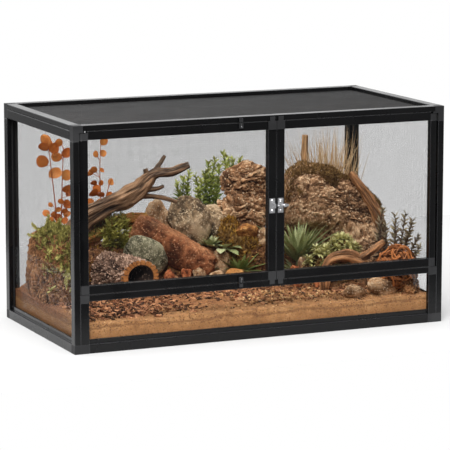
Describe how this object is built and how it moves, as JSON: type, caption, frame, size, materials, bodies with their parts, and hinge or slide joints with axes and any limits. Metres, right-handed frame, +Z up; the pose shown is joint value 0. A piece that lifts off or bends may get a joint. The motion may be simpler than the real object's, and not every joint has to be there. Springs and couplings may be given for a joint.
{
  "type": "mesh terrarium",
  "caption": "Mesh terrarium with a black knock-down frame, hinged mesh front doors, a slide-bolt latch, a lift-off mesh lid, a clear lower panel and a furnished desert bed.",
  "frame": {"origin": "bottom centre of the cage, on the surface that it stands on", "axes": "+X right along the front, +Y from the doors to the back, +Z up"},
  "size_m": [0.9, 0.458, 0.5],
  "materials": {
    "frame_black": "satin black powder coat",
    "connector_grey": "moulded, fine grain",
    "mesh_black": "fine black woven screen",
    "strip_black": "matte",
    "clear_panel": "clear",
    "floor_black": "matte",
    "steel": "bright plated",
    "pin_steel": "plain",
    "sand": "dry loose sand with bark chips",
    "soil": "crumbly soil and moss",
    "cork": "rough cork bark",
    "driftwood": "weathered, grained",
    "red_rock": "rough",
    "grey_rock": "rough",
    "foliage": "leafy",
    "orange_leaf": "dried leaves",
    "dry_grass": "dried stalks"
  },
  "bodies": {
    "cage": {"floor_panel": "floor_black", "bottom_rail_front": "frame_black", "bottom_rail_back": "frame_black", "bottom_side_rails": "frame_black", "bottom_connectors": "connector_grey", "front_posts": "frame_black", "back_posts": "frame_black", "top_side_rails": "frame_black", "top_rail_back": "frame_black", "top_connectors": "connector_grey", "mid_rail": "frame_black", "mid_connectors": "connector_grey", "lower_channels": "frame_black", "lower_panel": "clear_panel", "side_mesh_left": "mesh_black", "side_mesh_right": "mesh_black", "back_mesh": "mesh_black", "mesh_strips": "strip_black", "bedding_guards": "clear_panel", "lower_bolt_catch": "connector_grey", "sand_bed": "sand", "soil_bank": "soil", "soil_mound": "soil", "cork_mound": "cork", "cork_chunk": "cork", "root_tangle": "driftwood", "cork_tube": "cork", "slab_rock": "red_rock", "driftwood_branch": "driftwood", "driftwood_roots": "driftwood", "rocks": "grey_rock", "dry_grass": "dry_grass", "leaf_stems": "orange_leaf", "green_plants": "foliage"},
    "lid": {"lid_long_rails": "frame_black", "lid_short_rails": "frame_black", "lid_caps": "connector_grey", "lid_mesh": "mesh_black", "lid_strips": "strip_black", "upper_bolt_catch": "connector_grey"},
    "left_door": {"left_door_stiles": "frame_black", "left_door_rails": "frame_black", "left_door_corners": "connector_grey", "left_door_pins": "pin_steel", "left_door_mesh": "mesh_black", "left_door_strips": "strip_black", "latch_keeper": "steel", "latch_keeper_screws": "steel", "bolt_housings": "connector_grey"},
    "right_door": {"right_door_stiles": "frame_black", "right_door_rails": "frame_black", "right_door_corners": "connector_grey", "right_door_pins": "pin_steel", "right_door_mesh": "mesh_black", "right_door_strips": "strip_black", "latch_guide": "steel", "latch_guide_screws": "steel"},
    "latch_bolt": {"latch_bolt": "steel"},
    "upper_bolt": {"upper_bolt": "steel"},
    "lower_bolt": {"lower_bolt": "steel"}
  },
  "joints": [
    {"name": "left_door_hinge", "type": "hinge", "parent": "cage", "child": "left_door", "pos_m": [-0.4282, -0.218, 0.3], "axis": [0, 0, -1], "range_deg": [0, 94]},
    {"name": "right_door_hinge", "type": "hinge", "parent": "cage", "child": "right_door", "pos_m": [0.4282, -0.218, 0.3], "axis": [0, 0, 1], "range_deg": [0, 94]},
    {"name": "lid_lift", "type": "slide", "parent": "cage", "child": "lid", "axis": [0, 0, 1], "range_m": [0, 0.25]},
    {"name": "latch_slide", "type": "slide", "parent": "right_door", "child": "latch_bolt", "axis": [-1, 0, 0], "range_m": [0, 0.0075]},
    {"name": "upper_bolt_slide", "type": "slide", "parent": "left_door", "child": "upper_bolt", "axis": [0, 0, 1], "range_m": [0, 0.007]},
    {"name": "lower_bolt_slide", "type": "slide", "parent": "left_door", "child": "lower_bolt", "axis": [0, 0, -1], "range_m": [0, 0.007]}
  ]
}
